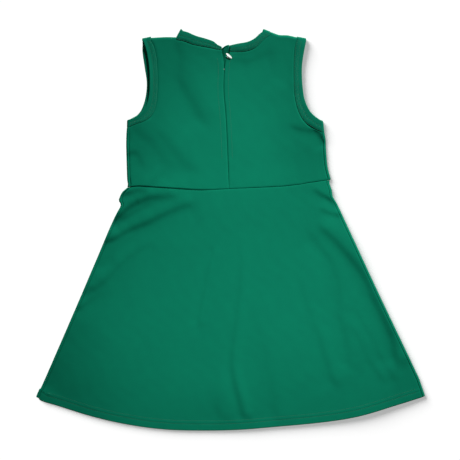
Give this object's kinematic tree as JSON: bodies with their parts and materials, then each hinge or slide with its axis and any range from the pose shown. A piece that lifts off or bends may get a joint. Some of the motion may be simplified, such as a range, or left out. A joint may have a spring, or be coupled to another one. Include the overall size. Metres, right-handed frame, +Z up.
{
  "type": "child's sleeveless knit dress laid flat",
  "caption": "Child's sleeveless fit-and-flare dress in thick green knit, laid flat with its back up: waist seam, flared skirt, bound neck and armholes, back slit with loop and button.",
  "frame": {"origin": "on the surface it lies on, under the middle of its box", "axes": "+X to the wearer's right, +Y from hem to shoulders, +Z up out of the back of the dress"},
  "size_m": [0.5836, 0.6034, 0.0152],
  "materials": {
    "double_knit": "dense matt double knit, solid green",
    "band_knit": "the same knit, folded into bands with twin-needle stitching",
    "pearl": "white pearly polyester"
  },
  "bodies": {
    "root": {"back_skirt": "double_knit", "front_skirt": "double_knit", "back_bodice_left": "double_knit", "back_bodice_right": "double_knit", "front_bodice": "double_knit", "armhole_band_left": "band_knit", "armhole_band_right": "band_knit", "neck_band_back_left": "band_knit", "neck_band_back_right": "band_knit", "neck_band_front": "band_knit", "slit_underlap": "double_knit", "button_loop": "band_knit", "button": "pearl"}
  },
  "joints": []
}
